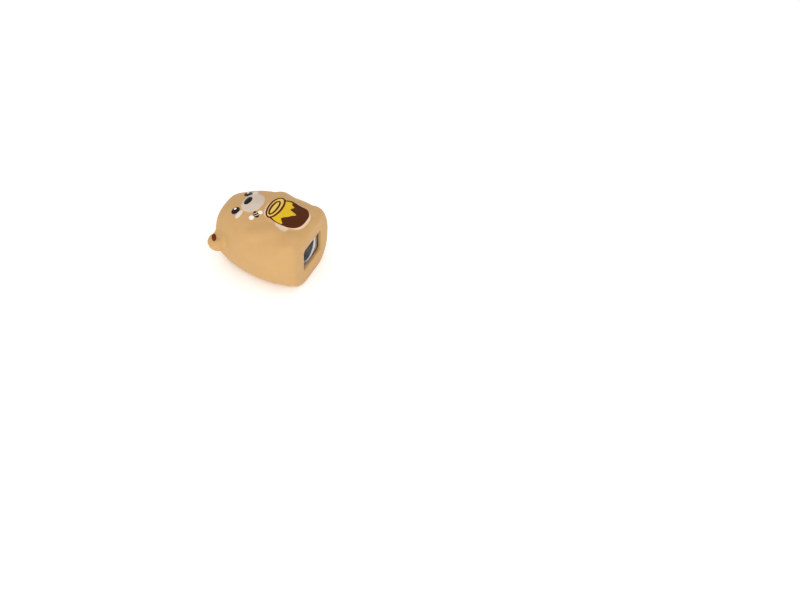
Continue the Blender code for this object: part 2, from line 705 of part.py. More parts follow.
def blade():
    """A flat blade with one ground edge, along the middle of the cone."""
    width = BLOCK_WIDTH / 2
    outline = [
        (0, 0),
        (-width, 0),
        (-width, BLADE_THICKNESS),
        (-BLADE_BEVEL, BLADE_THICKNESS),
        (0, BLADE_EDGE),
    ]
    made = prism("blade", outline, -BLADE_LENGTH, 0)
    turn = Matrix(((0, 0, 1, 0), (1, 0, 0, 0), (0, 1, 0, 0), (0, 0, 0, 1)))
    made.data.transform(turn)
    made.data.transform(Matrix.Translation((0, 0, BLADE_GAP)))
    made.matrix_world = on_face(BLADE_FROM_FRONT)
    finish(made, "blade_steel", smooth=False)
    hole = SHANK_DIAMETER / 2 + 2 * SCREW_GAP
    drill = [(0, -LEAD_IN), (hole, -LEAD_IN), (hole, LEAD_IN), (0, LEAD_IN)]
    place = on_face(SCREW_FROM_FRONT, SCREW_ACROSS)
    return boolean(made, helper(turned("cut_blade_hole", drill, 24, place)), "DIFFERENCE")


def blade_screw():
    """A slotted cheese-head screw, its own Z out of the blade's face."""
    shank = SHANK_DIAMETER / 2
    head = HEAD_DIAMETER / 2
    seat = BLADE_THICKNESS + 2 * BLADE_GAP
    edge = HEAD_HEIGHT / 5
    profile = [
        (0, seat - SHANK_LENGTH),
        (shank - edge, seat - SHANK_LENGTH),
        (shank, seat - SHANK_LENGTH + edge),
        (shank, seat),
        (head, seat),
        (head, seat + HEAD_HEIGHT - edge),
        (head - edge, seat + HEAD_HEIGHT),
        (0, seat + HEAD_HEIGHT),
    ]
    place = on_face(SCREW_FROM_FRONT, SCREW_ACROSS)
    made = finish(turned("blade_screw", profile, 32, place), "screw_steel", smooth=False)
    top = seat + HEAD_HEIGHT
    low = (-HEAD_DIAMETER, -SCREW_SLOT_WIDTH / 2, top - SCREW_SLOT_DEPTH)
    high = (HEAD_DIAMETER, SCREW_SLOT_WIDTH / 2, top + SCREW_SLOT_DEPTH)
    return boolean(made, helper(box("cut_screw_slot", low, high, place)), "DIFFERENCE")


clear_scene()
silicone_cover()
sharpener_body()
blade()
blade_screw()
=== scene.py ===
import json
import math

import bmesh
import bpy
import numpy as np
from mathutils import Matrix, Vector
from mathutils.geometry import delaunay_2d_cdt


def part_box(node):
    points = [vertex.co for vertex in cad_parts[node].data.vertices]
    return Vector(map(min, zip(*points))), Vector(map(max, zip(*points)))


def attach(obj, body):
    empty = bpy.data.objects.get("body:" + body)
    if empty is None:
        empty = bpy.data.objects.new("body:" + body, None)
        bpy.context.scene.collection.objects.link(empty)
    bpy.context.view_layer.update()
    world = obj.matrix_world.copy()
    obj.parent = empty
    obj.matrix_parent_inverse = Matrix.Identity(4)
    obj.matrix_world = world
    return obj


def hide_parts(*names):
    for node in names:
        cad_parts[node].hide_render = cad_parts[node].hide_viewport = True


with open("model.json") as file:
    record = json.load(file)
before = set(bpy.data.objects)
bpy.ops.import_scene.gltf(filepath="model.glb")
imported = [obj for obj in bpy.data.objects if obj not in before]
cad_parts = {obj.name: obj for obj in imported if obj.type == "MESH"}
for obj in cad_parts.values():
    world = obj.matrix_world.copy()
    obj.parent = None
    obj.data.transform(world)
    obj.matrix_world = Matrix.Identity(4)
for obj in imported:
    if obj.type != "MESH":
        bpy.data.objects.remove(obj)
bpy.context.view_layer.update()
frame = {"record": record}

MM = 0.001

# Everything below is worked out in millimetres, in the frame of the CAD, and scaled at the end.

OPENINGS = {box["name"]: np.array(box["box_m"]) / MM for box in frame["record"]["physics"]["openings"]}
COVER_LOW, COVER_HIGH = (np.array(corner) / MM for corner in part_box("silicone_cover"))
BLOCK_LOW, BLOCK_HIGH = (np.array(corner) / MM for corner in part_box("sharpener_body"))
JOINTS = {joint["name"]: joint for joint in frame["record"]["behaviour"]["joints"]}

BASE_X = COVER_HIGH[0]
BODY_LENGTH = COVER_HIGH[0] - COVER_LOW[0]
AXIS_Z = OPENINGS["pencil_mouth"][:, 2].mean()

# The bear's body, by distance from its flat base: half width, height of the front and depth of
# the back. The widths are squared before they are joined, so that the crown closes smoothly.
BODY_STATIONS = (0.0, 5.0, 11.0, 17.0, 23.0, 28.0, 30.6, 31.9, BODY_LENGTH)
HALF_WIDTHS = (11.7, 14.1, 14.8, 14.0, 12.1, 9.3, 7.65, 5.4, 0.0)
RATIO_STATIONS = (0.0, 5.0, 11.0, 17.0, 23.0, 28.0, BODY_LENGTH)
FRONT_RATIOS = (1.194, 1.35, 1.335, 1.18, 1.035, 0.905, 0.88)
BACK_RATIOS = (1.054, 1.27, 1.333, 1.26, 1.09, 0.84, 0.80)
FRONT_POWER = 2.64
BACK_POWER = 2.5
BASE_FILLET = 1.5
FLOOR_FILLET = 0.9

EAR_CENTRE = (28.7, 9.8)
EAR_RADII = (3.5, 3.5, 2.7)
EAR_BLEND = 1.7
EAR_DISH_RADII = (2.6, 2.6, 2.2)
EAR_DISH_TOWARDS_CROWN, EAR_DISH_OUT, EAR_DISH_RISE = 0.5, 0.6, 4.3
EAR_DISH_ROUND = 0.5
PARTING_STEP, PARTING_WIDTH = 0.1, 0.3

WINDOW = (11.8, 8.2)
WINDOW_CORNER = 0.9
EDGE_ROUND = 0.32
POCKET_ROUND = 0.25
POCKET_GAP = 0.12
# Cutters reach this far past the faces that they open.
POCKET_BELOW, WINDOW_INSIDE, WINDOW_OUTSIDE = 4.0, 2.0, 4.0

SKIN_STEP = 0.25


# --- Fields: negative inside a shape, positive outside, close to the distance in between ---------


def spline(places, values):
    """A smooth curve through points: its value at any place, with even curvature throughout."""
    x, y = np.array(places, float), np.array(values, float)
    gaps = np.diff(x)
    count = len(x)
    system, right = np.eye(count), np.zeros(count)
    for k in range(1, count - 1):
        system[k, k - 1 : k + 2] = gaps[k - 1], 2 * (gaps[k - 1] + gaps[k]), gaps[k]
        right[k] = 6 * ((y[k + 1] - y[k]) / gaps[k] - (y[k] - y[k - 1]) / gaps[k - 1])
    bend = np.linalg.solve(system, right)

    def at(place):
        k = np.clip(np.searchsorted(x, place) - 1, 0, count - 2)
        left, after, gap = place - x[k], x[k + 1] - place, gaps[k]
        return (
            bend[k] * after**3 / (6 * gap)
            + bend[k + 1] * left**3 / (6 * gap)
            + (y[k] / gap - bend[k] * gap / 6) * after
            + (y[k + 1] / gap - bend[k + 1] * gap / 6) * left
        )

    return at


def round_union(a, b, radius):
    return np.maximum(radius, np.minimum(a, b)) - np.hypot(
        np.maximum(radius - a, 0), np.maximum(radius - b, 0)
    )


def round_intersection(a, b, radius):
    return np.minimum(-radius, np.maximum(a, b)) + np.hypot(
        np.maximum(radius + a, 0), np.maximum(radius + b, 0)
    )


def round_difference(a, b, radius):
    return round_intersection(a, -b, radius)


def ellipsoid_field(p, centre, radii):
    scaled = [(p[i] - centre[i]) / radii[i] for i in range(3)]
    near = np.sqrt(sum(s * s for s in scaled))
    slope = np.sqrt(sum((s / r) ** 2 for s, r in zip(scaled, radii)))
    return near * (near - 1) / np.maximum(slope, 1e-9)


def capsule_field(p, start, end, radius):
    along = np.array(end) - np.array(start)
    reach = sum((p[i] - start[i]) * along[i] for i in range(3)) / (along @ along)
    reach = np.clip(reach, 0, 1)
    return np.sqrt(sum((p[i] - start[i] - reach * along[i]) ** 2 for i in range(3))) - radius


def box_field(p, low, high, radius=0.0):
    """A box with its edges rounded to a radius."""
    out = [np.maximum(low[i] + radius - p[i], p[i] - high[i] + radius) for i in range(3)]
    beyond = np.sqrt(sum(np.maximum(o, 0) ** 2 for o in out))
    return beyond + np.minimum(np.maximum.reduce(out), 0) - radius


WIDTH_SQUARED = spline(BODY_STATIONS, np.array(HALF_WIDTHS) ** 2)
FRONT_RATIO = spline(RATIO_STATIONS, FRONT_RATIOS)
BACK_RATIO = spline(RATIO_STATIONS, BACK_RATIOS)


def torso_field(p):
    """The body without limbs, and without its flat base and back."""
    x, y, z = p
    along = BASE_X - x
    share = np.clip(along, -2.0, BODY_LENGTH + 2.0)
    up = z - AXIS_Z
    front = up >= 0
    scaled = np.abs(up) * np.where(front, FRONT_RATIO(share), BACK_RATIO(share))
    power = np.where(front, FRONT_POWER, BACK_POWER)
    reach = (np.abs(y) ** power + scaled**power) ** (1 / power)
    square = WIDTH_SQUARED(share)
    return (reach**2 - square) / (reach + np.sqrt(np.maximum(square, 0)) + 1.5)


def gradient(field, p, step=0.01):
    """Slope of a field at points given as rows of x, y, z."""
    slopes = []
    for i in range(3):
        ahead, behind = p.copy(), p.copy()
        ahead[:, i] += step
        behind[:, i] -= step
        slopes.append((field(ahead.T) - field(behind.T)) / (2 * step))
    return np.stack(slopes, axis=1)


def settle(field, p, rounds=4, most=0.2):
    """Moves points on to the surface of a field, and returns them with its normals there."""
    for _ in range(rounds):
        slope = gradient(field, p)
        square = np.maximum((slope**2).sum(axis=1), 1e-6)
        step = (field(p.T) / square)[:, None] * slope
        length = np.linalg.norm(step, axis=1, keepdims=True)
        p = p - step * np.minimum(1, most / np.maximum(length, 1e-9))
    slope = gradient(field, p)
    return p, slope / np.linalg.norm(slope, axis=1, keepdims=True)


def top_of(field, x, y, low=AXIS_Z, high=AXIS_Z + 20):
    """Height of a field's surface over points of the plan."""
    x, y = np.atleast_1d(np.array(x, float)), np.atleast_1d(np.array(y, float))
    below, above = np.full(x.shape, float(low)), np.full(x.shape, float(high))
    for _ in range(44):
        middle = (below + above) / 2
        inside = field((x, y, middle)) < 0
        below, above = np.where(inside, middle, below), np.where(inside, above, middle)
    return (below + above) / 2


def under_skin(along, across, depth):
    """A point at a depth under the front of the torso."""
    x = BASE_X - along
    place = np.array([[x, across, top_of(torso_field, x, across)[0]]])
    place, normal = settle(torso_field, place)
    return tuple(place[0] - normal[0] * depth)


# Limbs lie just under the skin, so that only their backs swell it. Each is the places of its two
# ends as distance from the base and distance across, its radius, how far it stands out, and the
# radius of its blend.
ARM = ((15.6, 10.4), (10.6, 7.4), 2.3, 0.55, 1.6)
FOOT = ((3.2, 9.6), (3.4, 7.6), 2.6, 0.75, 1.6)


def limb_ends(limb, side):
    start, end, radius, rise, _ = limb
    return [under_skin(along, side * across, radius - rise) for along, across in (start, end)]


LIMBS = [
    (*limb_ends(limb, side), limb[2], limb[4]) for limb in (ARM, FOOT) for side in (1, -1)
]


# --- Artwork: places as distance from the base and distance across ------------------------------

POT_MIDDLE = 1.0
JAR = ((9.0, POT_MIDDLE), (6.25, 5.6), 2.8)
RIM = ((13.85, POT_MIDDLE + 0.4), (2.25, 5.4), 2.0)
MUZZLE = ((21.15, 0.0), (3.4, 4.65), 2.1)
MUZZLE_RISE, MUZZLE_SPREAD, MUZZLE_POWER = 0.75, 1.15, 0.7
POT_RISE, POT_SWELL = 0.45, 0.16


def oval_share(x, y, oval):
    """1 on an oval's edge, less inside it."""
    (along, across), radii, power = oval
    return (
        np.abs((BASE_X - x - along) / radii[0]) ** power + np.abs((y - across) / radii[1]) ** power
    ) ** (1 / power)


def swell(share, width):
    """1 inside an oval, falling smoothly to 0 over a width past its edge."""
    t = np.clip((1 + width - share) / width, 0, 1)
    return t * t * (3 - 2 * t)


def relief(p):
    """How far the front's skin is raised under the muzzle and the pot."""
    x, y, z = p
    front = np.clip((z - AXIS_Z) / 3, 0, 1)
    muzzle = MUZZLE_RISE * np.clip(MUZZLE_SPREAD - oval_share(x, y, MUZZLE) ** 2, 0, 1) ** MUZZLE_POWER
    jar, rim = (swell(oval_share(x, y, oval), POT_SWELL) for oval in (JAR, RIM))
    pot = POT_RISE * np.maximum(jar, rim)
    return front * np.maximum(muzzle, pot)


def skin_field(p):
    """The whole outside of the bear. The mould parts at its widest line, and leaves a slight step."""
    x, _, z = p
    field = torso_field(p)
    for start, end, radius, blend in LIMBS:
        field = round_union(field, capsule_field(p, start, end, radius), blend)
    for side in (1, -1):
        centre = (BASE_X - EAR_CENTRE[0], side * EAR_CENTRE[1], AXIS_Z)
        ear = ellipsoid_field(p, centre, EAR_RADII)
        dish_x, dish_y = centre[0] - EAR_DISH_TOWARDS_CROWN, centre[1] + side * EAR_DISH_OUT
        dish = ellipsoid_field(p, (dish_x, dish_y, AXIS_Z + EAR_DISH_RISE), EAR_DISH_RADII)
        ear = round_difference(ear, dish, EAR_DISH_ROUND)
        field = round_union(field, ear, EAR_BLEND)
    field = field - relief(p)
    below = np.clip((AXIS_Z - z) / PARTING_WIDTH, 0, 1)
    field = field + PARTING_STEP * below * below * (3 - 2 * below)
    field = round_intersection(field, x - BASE_X, BASE_FILLET)
    return round_intersection(field, -z, FLOOR_FILLET)


def cover_field(p):
    """The skin, with the pocket for the metal block and the window in its base."""
    half = BLOCK_HIGH[1] + POCKET_GAP
    pocket_low = (BLOCK_LOW[0] - POCKET_GAP, -half, -POCKET_BELOW)
    pocket_high = (BLOCK_HIGH[0] + POCKET_GAP, half, BLOCK_HIGH[2] + POCKET_GAP)
    pocket = box_field(p, pocket_low, pocket_high, POCKET_ROUND)
    half_y, half_z = WINDOW[0] / 2, WINDOW[1] / 2
    window_low = (BLOCK_HIGH[0] - WINDOW_INSIDE, -half_y, AXIS_Z - half_z)
    window_high = (BASE_X + WINDOW_OUTSIDE, half_y, AXIS_Z + half_z)
    window = box_field(p, window_low, window_high, WINDOW_CORNER)
    field = round_difference(skin_field(p), pocket, EDGE_ROUND)
    return round_difference(field, window, EDGE_ROUND)


# --- Meshes from fields ------------------------------------------------------------------------


def surface_nets(field, low, high, step):
    """Points and quads of a field's surface, one point for each cell that it passes through."""
    axes = [np.arange(low[i], high[i] + step, step) for i in range(3)]
    grid = np.meshgrid(*axes, indexing="ij")
    values = field(grid)
    inside = values < 0
    shape = tuple(n - 1 for n in values.shape)
    corners = [(i, j, k) for i in (0, 1) for j in (0, 1) for k in (0, 1)]

    def cells(array, corner):
        return array[tuple(slice(c, c + n) for c, n in zip(corner, shape))]

    count = sum(cells(inside, corner).astype(np.int8) for corner in corners)
    active = (count > 0) & (count < 8)
    where = np.argwhere(active)
    index = np.full(shape, -1)
    index[active] = np.arange(len(where))
    total, crossings = np.zeros((len(where), 3)), np.zeros((len(where), 1))
    for corner in corners:
        for axis in range(3):
            if corner[axis]:
                continue
            other = tuple(c + (i == axis) for i, c in enumerate(corner))
            here, there = cells(values, corner)[active], cells(values, other)[active]
            crossed = (here < 0) != (there < 0)
            share = np.where(crossed, here / np.where(crossed, here - there, 1), 0)
            point = np.array(corner, float) + share[:, None] * np.eye(3)[axis]
            total += np.where(crossed[:, None], point, 0)
            crossings += crossed[:, None]
    points = np.array(low) + step * (where + total / crossings)

    quads = []
    for axis in range(3):
        b, c = (axis + 1) % 3, (axis + 2) % 3
        near = [slice(1, -1)] * 3
        near[axis] = slice(0, -1)
        far = list(near)
        far[axis] = slice(1, None)
        start, end = inside[tuple(near)], inside[tuple(far)]
        for mask, turn in ((start & ~end, 1), (~start & end, -1)):
            base = np.argwhere(mask)
            base[:, b] += 1
            base[:, c] += 1
            ring = []
            for db, dc in ((-1, -1), (0, -1), (0, 0), (-1, 0))[::turn]:
                cell = base.copy()
                cell[:, b] += db
                cell[:, c] += dc
                ring.append(index[tuple(cell.T)])
            quads.append(np.stack(ring, axis=1))
    return points, np.concatenate(quads)


def mesh_of(name, points, faces, normals=None):
    mesh = bpy.data.meshes.new(name)
    mesh.from_pydata((points * MM).tolist(), [], [list(map(int, face)) for face in faces])
    mesh.polygons.foreach_set("use_smooth", [True] * len(mesh.polygons))
    if normals is not None:
        mesh.normals_split_custom_set_from_vertices(normals.tolist())
    made = bpy.data.objects.new(name, mesh)
    bpy.context.scene.collection.objects.link(made)
    return made


def field_mesh(name, field, low, high, step):
    low = np.array(low, float) - 3 * step + step * 0.37
    high = np.array(high, float) + 3 * step
    points, quads = surface_nets(field, low, high, step)
    points, normals = settle(field, points)
    return mesh_of(name, points, quads, normals)


def place(piece, body, slot, node=None, material=None):
    if material is not None:
        piece.data.materials.append(material)
    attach(piece, body)
    if node:
        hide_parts(node)
    return piece


# --- Films: the printed colours, thin pieces that follow the skin -------------------------------

OUTLINE_STEP = 0.12
FILL_STEP = 0.22
FILM_DEPTH = 0.12
FILM_EDGE = 0.05
# Rows of the fill lie this share of a step apart, and keep clear of the outline by this share.
ROW_SHARE, CLEAR_SHARE = 0.87, 0.45
# How much of its lift a film has where its side begins.
SIDE_SHARE = 0.45


def plan(along, across):
    return np.array([BASE_X - along, across])


def evenly(outline, step=OUTLINE_STEP):
    """A closed outline's points, spaced evenly."""
    closed = np.vstack([outline, outline[:1]])
    lengths = np.concatenate([[0], np.cumsum(np.linalg.norm(np.diff(closed, axis=0), axis=1))])
    count = max(int(round(lengths[-1] / step)), 12)
    at = np.linspace(0, lengths[-1], count, endpoint=False)
    return np.stack([np.interp(at, lengths, closed[:, i]) for i in range(2)], axis=1)


def oval_outline(oval, grow=0.0, tilt=0.0):
    """An oval's outline in the plan, grown outwards, and turned by a tilt in degrees."""
    (along, across), radii, power = oval
    turn = np.linspace(0, 2 * np.pi, 240, endpoint=False)
    c, s = np.cos(turn), np.sin(turn)
    reach = (np.abs(c) ** power + np.abs(s) ** power) ** (-1 / power)
    x, y = (radii[0] + grow) * c * reach, (radii[1] + grow) * s * reach
    lean = math.radians(tilt)
    turned = np.stack([x * math.cos(lean) - y * math.sin(lean), x * math.sin(lean) + y * math.cos(lean)], 1)
    return evenly(plan(along, across) + turned)


def smooth_outline(points, rounds=3, tension=0.22):
    """A closed outline through corner points, with each corner cut round."""
    outline = np.array([plan(*point) for point in points])
    for _ in range(rounds):
        after = np.roll(outline, -1, axis=0)
        outline = np.stack([outline + tension * (after - outline), after - tension * (after - outline)], 1)
        outline = outline.reshape(-1, 2)
    return evenly(outline)


def inside_outline(outline, points):
    """Which points of the plan lie inside a closed outline."""
    result = np.zeros(len(points), bool)
    x, y = points[:, 0], points[:, 1]
    for (x0, y0), (x1, y1) in zip(outline, np.roll(outline, -1, axis=0)):
        crosses = (y0 > y) != (y1 > y)
        if crosses.any():
            result ^= crosses & (x < (x1 - x0) * (y - y0) / (y1 - y0 if y1 != y0 else 1e-12) + x0)
    return result


def outline_distance(outline, points):
    """Distance from points to the nearest side of a closed outline."""
    nearest = np.full(len(points), np.inf)
    for start, end in zip(outline, np.roll(outline, -1, axis=0)):
        way = end - start
        share = np.clip(((points - start) @ way) / max(way @ way, 1e-12), 0, 1)
        nearest = np.minimum(nearest, np.linalg.norm(points - start - share[:, None] * way, axis=1))
    return nearest


def shrunk(outline, inset):
    """An outline moved inwards by a small distance."""
    way = np.roll(outline, -1, axis=0) - np.roll(outline, 1, axis=0)
    way /= np.linalg.norm(way, axis=1, keepdims=True)
    area = np.sum(outline[:, 0] * np.roll(outline[:, 1], -1) - np.roll(outline[:, 0], -1) * outline[:, 1])
    inward = np.stack([-way[:, 1], way[:, 0]], axis=1) * (1 if area > 0 else -1)
    return outline + inward * inset


def film_mesh(name, field, outlines, lift, crown=0.0, low=AXIS_Z):
    """A closed thin piece on a field's surface, inside the first outline and outside the rest.

    Its top stands out by the lift, and by the crown more in its middle. Its sides round over.
    """
    rims = [shrunk(outline, FILM_EDGE if k == 0 else -FILM_EDGE) for k, outline in enumerate(outlines)]
    low_x, low_y = rims[0].min(axis=0)
    high_x, high_y = rims[0].max(axis=0)
    rows = np.arange(low_y, high_y, FILL_STEP * ROW_SHARE)
    columns = np.arange(low_x, high_x, FILL_STEP)
    fill = np.array([(x + (j % 2) * FILL_STEP / 2, y) for j, y in enumerate(rows) for x in columns])
    keep = inside_outline(rims[0], fill)
    for hole in rims[1:]:
        keep &= ~inside_outline(hole, fill)
    fill = fill[keep]
    for rim in rims:
        fill = fill[outline_distance(rim, fill) > FILL_STEP * CLEAR_SHARE] if len(fill) else fill
    flat = np.vstack(rims + [fill]) if len(fill) else np.vstack(rims)
    edges, start = [], 0
    for rim in rims:
        count = len(rim)
        edges += [(start + k, start + (k + 1) % count) for k in range(count)]
        start += count
    points, _, faces, _, _, _ = delaunay_2d_cdt([Vector(p) for p in flat], edges, [], 0, 1e-7)
    flat = np.array([tuple(p) for p in points])
    faces = np.array([face for face in faces if len(face) == 3])
    middles = flat[faces].mean(axis=1)
    keep = inside_outline(rims[0], middles)
    for hole in rims[1:]:
        keep &= ~inside_outline(hole, middles)
    faces = faces[keep]
    a, b, c = (flat[faces[:, k]] for k in range(3))
    turned = (b[:, 0] - a[:, 0]) * (c[:, 1] - a[:, 1]) - (b[:, 1] - a[:, 1]) * (c[:, 0] - a[:, 0]) < 0
    faces[turned] = faces[turned][:, ::-1]

    def on_skin(spots):
        place = np.column_stack([spots, top_of(field, spots[:, 0], spots[:, 1], low)])
        return place, settle(field, place, rounds=1)[1]

    place, normal = on_skin(flat)
    rise = np.full(len(flat), lift)
    if crown:
        edge = outline_distance(rims[0], flat)
        rise = rise + crown * (1 - (1 - np.clip(edge / edge.max(), 0, 1)) ** 2)
    tops = place + normal * rise[:, None]
    bottoms = place - normal * FILM_DEPTH
    count = len(flat)
    mesh_points = [tops, bottoms]
    mesh_faces = [faces, faces[:, ::-1] + count]
    offset, start = 2 * count, 0
    for rim, outline in zip(rims, outlines):
        size = len(rim)
        side_place, side_normal = on_skin(outline)
        ring_high = side_place + side_normal * (lift * SIDE_SHARE)
        ring_low = side_place - side_normal * FILM_DEPTH
        mesh_points += [ring_high, ring_low]
        high, below = offset, offset + size
        area = np.sum(outline[:, 0] * np.roll(outline[:, 1], -1) - np.roll(outline[:, 0], -1) * outline[:, 1])
        flip = (area > 0) == (rim is rims[0])
        for k in range(size):
            j = (k + 1) % size
            ring = [start + k, high + k, below + k, start + k + count]
            after = [start + j, high + j, below + j, start + j + count]
            for i in range(3):
                face = [ring[i], ring[i + 1], after[i + 1], after[i]]
                mesh_faces.append(np.array([face if flip else face[::-1]]))
        offset += 2 * size
        start += size
    faces = [tuple(face) for block in mesh_faces for face in block]
    return mesh_of(name, np.vstack(mesh_points), faces)


# --- Materials -----------------------------------------------------------------------------------


def linear(red, green, blue):
    """A colour given as 0-255 steps, as the shader takes it."""
    steps = [c / 255 for c in (red, green, blue)]
    return (*[c / 12.92 if c <= 0.04045 else ((c + 0.055) / 1.055) ** 2.4 for c in steps], 1.0)


def new_material(name):
    made = bpy.data.materials.new(name)
    made.use_nodes = True
    return made, made.node_tree, made.node_tree.nodes["Principled BSDF"]


def add_node(tree, kind, **values):
    node = tree.nodes.new(kind)
    for key, value in values.items():
        if key in node.inputs:
            node.inputs[key].default_value = value
        else:
            setattr(node, key, value)
    return node


def noise(tree, scale, detail=3.0, roughness=0.5, stretch=None):
    where = tree.nodes.new("ShaderNodeTexCoord")
    place_in = add_node(tree, "ShaderNodeMapping")
    if stretch:
        place_in.inputs["Scale"].default_value = stretch
    made = add_node(tree, "ShaderNodeTexNoise", Scale=scale, Detail=detail, Roughness=roughness)
    tree.links.new(where.outputs["Object"], place_in.inputs["Vector"])
    tree.links.new(place_in.outputs["Vector"], made.inputs["Vector"])
    return made.outputs["Fac"]


def spread(tree, source, low, high):
    made = add_node(tree, "ShaderNodeMapRange")
    made.inputs["From Min"].default_value = 0.3
    made.inputs["From Max"].default_value = 0.7
    made.inputs["To Min"].default_value = low
    made.inputs["To Max"].default_value = high
    tree.links.new(source, made.inputs["Value"])
    return made.outputs["Result"]


def bump(tree, shader, source, distance, strength=1.0):
    made = add_node(tree, "ShaderNodeBump", Strength=strength, Distance=distance)
    tree.links.new(source, made.inputs["Height"])
    tree.links.new(made.outputs["Normal"], shader.inputs["Normal"])


def rubber(name, colour, roughness=0.58, grain=0.012, glow=0.12, mottle=0.03, specular=0.42):
    """Moulded silicone: a soft sheen over a fine grain, with the colour a little uneven."""
    made, tree, shader = new_material(name)
    base = linear(*colour)
    mix = add_node(tree, "ShaderNodeMix", data_type="RGBA")
    for socket, share in ((6, 1 - mottle), (7, 1 + mottle)):
        mix.inputs[socket].default_value = (*[min(c * share, 1.0) for c in base[:3]], 1.0)
    tree.links.new(spread(tree, noise(tree, 260.0, 4.0), 0.0, 1.0), mix.inputs["Factor"])
    tree.links.new(mix.outputs[2], shader.inputs["Base Color"])
    dullness = spread(tree, noise(tree, 700.0), roughness - 0.04, roughness + 0.04)
    tree.links.new(dullness, shader.inputs["Roughness"])
    shader.inputs["Subsurface Weight"].default_value = glow
    shader.inputs["Subsurface Radius"].default_value = (1.0, 0.55, 0.3)
    shader.inputs["Subsurface Scale"].default_value = 1.1 * MM
    shader.inputs["Specular IOR Level"].default_value = specular
    bump(tree, shader, noise(tree, 5200.0, 2.0), grain * MM)
    return made


def metal(name, colour, roughness, marks, depth, stretch):
    """Cut metal, with the tool's marks drawn out along one way."""
    made, tree, shader = new_material(name)
    shader.inputs["Base Color"].default_value = linear(*colour)
    shader.inputs["Metallic"].default_value = 1.0
    lines = noise(tree, marks, 4.0, 0.6, stretch)
    tree.links.new(spread(tree, lines, roughness - 0.06, roughness + 0.08), shader.inputs["Roughness"])
    bump(tree, shader, lines, depth * MM, 0.6)
    return made


FAWN = rubber("bear_fawn", (193, 152, 96), mottle=0.018)
CREAM = rubber("pot_backing_cream", (228, 192, 160))
PAW_CREAM = rubber("paw_cream", (212, 182, 156))
MUZZLE_CREAM = rubber("muzzle_cream", (198, 180, 163), mottle=0.05)
BROWN = rubber("print_brown", (78, 38, 12), roughness=0.5, glow=0.0, mottle=0.12, specular=0.06)
EAR_BROWN = rubber("ear_brown", (108, 46, 16), roughness=0.5, glow=0.0, mottle=0.12, specular=0.08)
BLACK = rubber("print_black", (26, 16, 14), roughness=0.36, glow=0.0, mottle=0.1, specular=0.12)
WHITE = rubber("print_white", (240, 228, 220), roughness=0.45)
CHEEK_WHITE = rubber("cheek_white", (216, 200, 186), roughness=0.5)
HONEY = rubber("honey_print", (216, 176, 28), roughness=0.45, mottle=0.03, specular=0.15)
RIM_YELLOW = rubber("rim_print", (224, 184, 90), roughness=0.45, mottle=0.03, specular=0.15)
STRIPE = rubber("bee_stripe", (228, 196, 160), roughness=0.45)
ALLOY = metal("block_alloy", (196, 198, 202), 0.34, 900.0, 0.01, (1.0, 0.08, 1.0))
BLADE_STEEL = metal("blade_ground_steel", (178, 180, 184), 0.24, 1500.0, 0.004, (0.05, 1.0, 1.0))
SCREW_STEEL = metal("screw_plated_steel", (186, 178, 150), 0.28, 900.0, 0.006, (1.0, 1.0, 0.2))


# --- The bear ------------------------------------------------------------------------------------

# Heights of the films over the skin: what is printed first lies lowest.
FIRST_COAT, SECOND_COAT, THIRD_COAT, FOURTH_COAT = 0.03, 0.05, 0.08, 0.11
GLINT_COAT = FOURTH_COAT + 0.04
NOSE_CROWN, EYE_CROWN = 0.35, 0.05
BROWN_LINE = 0.58

JAR_BACKING = ((8.7, POT_MIDDLE - 0.25), (6.65, 5.45), 2.8)
RIM_BACKING = ((14.2, POT_MIDDLE), (2.5, 5.0), 2.0)
POT_CENTRE = (12.3, POT_MIDDLE)
MOUTH_LINE = ((14.0, POT_MIDDLE), (1.2, 3.7), 2.0)
MOUTH = ((14.0, POT_MIDDLE), (0.62, 3.0), 2.0)
NOSE = ((22.75, -0.25), (1.13, 2.0), 2.1)
FACE_MIDDLE = -0.35
EYE = ((24.95, 4.3), (1.35, 1.42), 2.0)
GLINT = ((25.35, 0.55), (0.46, 0.46), 2.0)
CHEEK = ((23.1, 5.5), (0.85, 1.6), 2.0)
CHEEK_TILT = 12
EAR_PATCH = ((29.8, 10.65), (0.75, 1.7), 2.0)
EAR_TILT = -33
BEE = ((17.8, -4.35), (1.3, 0.88), 2.0)
BEE_TILT = -40
BEE_WINGS = {
    "bee_wing_right": ((18.55, -6.0), (0.85, 0.85), 2.0),
    "bee_wing_left": ((17.0, -2.95), (0.78, 0.8), 2.0),
}
BEE_STRIPES = (-0.45, 0.4)
BEE_STRIPE_WIDTH = 0.36
BEE_STRIPE_INSET = 0.04

# The near edge of the honey with its drips, from the rim on one side to the rim on the other.
HONEY_DRIPS = (
    (12.5, -3.55), (11.6, -3.95), (10.6, -4.2), (9.6, -4.25), (8.75, -4.1), (8.75, -3.7), (9.5, -2.9),
    (10.15, -2.1), (9.6, -1.3), (8.9, -0.7), (8.3, -0.1), (7.7, 0.7), (6.7, 1.45), (6.7, 1.95),
    (8.1, 2.5), (9.5, 2.95), (9.05, 3.9), (8.65, 4.6), (9.3, 4.95), (10.0, 5.1), (9.85, 5.9),
    (10.7, 6.0), (11.7, 5.85),
)
PAW_PAD = ((11.2, -3.9), (10.9, -4.95), (10.0, -5.85), (8.5, -6.1), (6.9, -6.2), (6.3, -5.4), (6.2, -3.9))
FAR_PAW_SHARE = 0.6
POT_JOIN = 0.04


